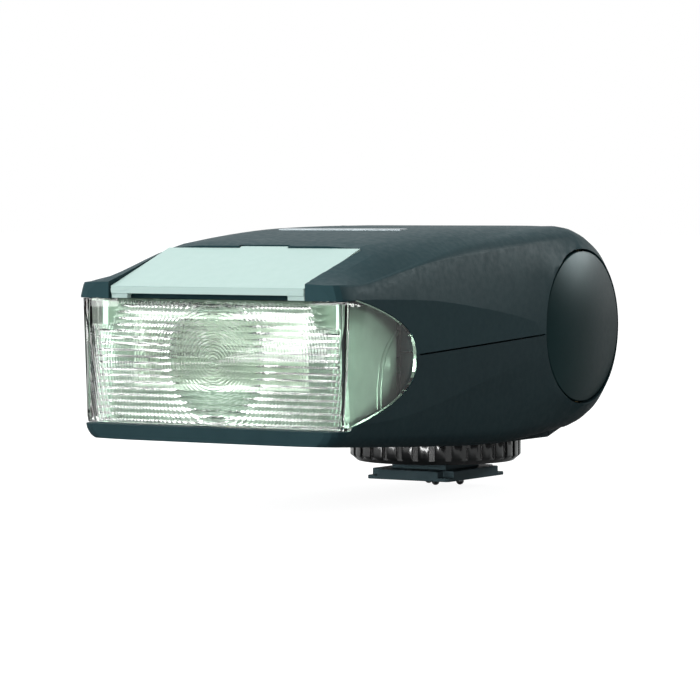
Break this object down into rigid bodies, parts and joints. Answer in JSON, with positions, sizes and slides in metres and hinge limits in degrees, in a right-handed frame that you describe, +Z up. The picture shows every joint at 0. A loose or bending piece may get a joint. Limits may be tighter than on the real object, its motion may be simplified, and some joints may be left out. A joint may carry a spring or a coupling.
{
  "type": "speedlight flash",
  "caption": "Compact shoe-mount camera flash: wedge-shaped tilting head with ribbed clear lens and flip-over wide panel, drum battery base, ribbed locking ring and shoe foot.",
  "frame": {"origin": "centre of the shoe foot's flat underside", "axes": "+Z up, away from the camera shoe; the lamp fires along -Y at rest; +X is to the right seen from the front"},
  "size_m": [0.0632, 0.1031, 0.0513],
  "materials": {
    "casing_top": "fine-grained charcoal plastic",
    "casing_bottom": "fine-grained charcoal plastic",
    "side_cap": "fine-grained charcoal plastic",
    "base_plastic": "fine-grained charcoal plastic",
    "panel_plastic": "satin black plastic",
    "clear_lens": "clear moulded acrylic",
    "frosted_panel": "frosted milky plastic",
    "reflector_metal": "bright brushed aluminium",
    "lamp_glass": "clear glass",
    "steel": "bright steel",
    "spring_steel": "nickel-plated spring steel",
    "silicone": "white silicone rubber",
    "black_plastic": "gloss black plastic",
    "capacitor_sleeve": "shrink-sleeved can",
    "board": "green solder mask",
    "copper_winding": "varnished winding",
    "brass_strip": "spring brass",
    "acetal": "natural acetal",
    "cell_wrap": "printed cell sleeve with no print",
    "lamp_lens": "green tinted lens",
    "button_red": "satin",
    "button_grey": "satin",
    "silver_inlay": "satin silver",
    "foot_plastic": "dark grey satin",
    "pin_metal": "bright plated"
  },
  "bodies": {
    "base": {"base_housing": "base_plastic", "base_bottom_plate": "base_plastic", "base_screws": "steel", "rear_panel": "panel_plastic", "control_board": "board", "status_lamps": "lamp_lens", "battery_front": "cell_wrap", "battery_rear": "cell_wrap", "battery_contact_plate": "brass_strip", "battery_contact_spring": "spring_steel", "tilt_click_ring": "brass_strip", "pivot_cap": "side_cap", "door_hinge_pin": "steel", "foot_post": "foot_plastic", "post_screws": "steel", "foot_plate": "foot_plastic", "foot_screws": "steel"},
    "head": {"head_top_shell": "casing_top", "head_bottom_shell": "casing_bottom", "front_lens": "clear_lens", "reflector": "reflector_metal", "flash_tube": "lamp_glass", "tube_electrodes": "steel", "tube_boots": "silicone", "reflector_bracket": "panel_plastic", "main_capacitor": "capacitor_sleeve", "capacitor_strap": "panel_plastic", "main_circuit_board": "board", "inverter_transformer": "copper_winding", "trigger_coil": "copper_winding", "switching_transistor": "panel_plastic", "head_screws": "steel", "badge_bar": "silver_inlay", "friction_ring_left": "acetal", "friction_ring_right": "acetal", "tilt_click_plunger": "steel", "wide_panel_pins": "steel", "panel_latch_spring": "spring_steel"},
    "wide_panel": {"wide_panel": "frosted_panel"},
    "battery_door": {"battery_door": "side_cap", "door_contact_bridge": "brass_strip", "door_contact_spring": "spring_steel"},
    "power_switch": {"power_switch": "button_grey"},
    "test_button": {"test_button": "button_red"},
    "mode_button": {"mode_button": "button_grey"},
    "contact_pin_centre": {"contact_pin_centre": "pin_metal"},
    "contact_pin_left": {"contact_pin_left": "pin_metal"},
    "contact_pin_right": {"contact_pin_right": "pin_metal"},
    "clamp_plate": {"clamp_plate": "foot_plastic"},
    "lock_ring": {"lock_ring": "black_plastic"}
  },
  "joints": [
    {"name": "head_tilt", "type": "hinge", "parent": "base", "child": "head", "pos_m": [0, 0.0037, 0.0302], "axis": [-1, 0, 0], "range_deg": [0, 90]},
    {"name": "wide_panel_flip", "type": "hinge", "parent": "head", "child": "wide_panel", "pos_m": [0, -0.07895, 0.03855], "axis": [1, 0, 0], "range_deg": [0, 249.5]},
    {"name": "battery_door_open", "type": "hinge", "parent": "base", "child": "battery_door", "pos_m": [-0.0309, 0.0037, 0.0166], "axis": [0, -1, 0], "range_deg": [0, 100]},
    {"name": "power_switch_slide", "type": "slide", "parent": "base", "child": "power_switch", "axis": [1, 0, 0], "range_m": [0, 0.005]},
    {"name": "test_button_push", "type": "slide", "parent": "base", "child": "test_button", "axis": [0, -1, 0], "range_m": [0, 0.0006], "stiffness_N_per_m": 800, "springref_m": -0.0005},
    {"name": "mode_button_push", "type": "slide", "parent": "base", "child": "mode_button", "axis": [0, -1, 0], "range_m": [0, 0.0006], "stiffness_N_per_m": 800, "springref_m": -0.0005},
    {"name": "contact_pin_centre_push", "type": "slide", "parent": "base", "child": "contact_pin_centre", "axis": [0, 0, 1], "range_m": [0, 0.0014], "stiffness_N_per_m": 400, "springref_m": -0.0005},
    {"name": "contact_pin_left_push", "type": "slide", "parent": "base", "child": "contact_pin_left", "axis": [0, 0, 1], "range_m": [0, 0.0014], "stiffness_N_per_m": 400, "springref_m": -0.0005},
    {"name": "contact_pin_right_push", "type": "slide", "parent": "base", "child": "contact_pin_right", "axis": [0, 0, 1], "range_m": [0, 0.0014], "stiffness_N_per_m": 400, "springref_m": -0.0005},
    {"name": "clamp_plate_slide", "type": "slide", "parent": "base", "child": "clamp_plate", "axis": [0, 0, -1], "range_m": [0, 0.0011]},
    {"name": "lock_ring_turn", "type": "hinge", "parent": "clamp_plate", "child": "lock_ring", "pos_m": [0, 0, 0.0057], "axis": [0, 0, -1], "range_deg": [0, 330]}
  ],
  "couplings": [
    {"joint": "clamp_plate_slide", "follows": "lock_ring_turn", "m_per_rad": 0.00019099}
  ]
}
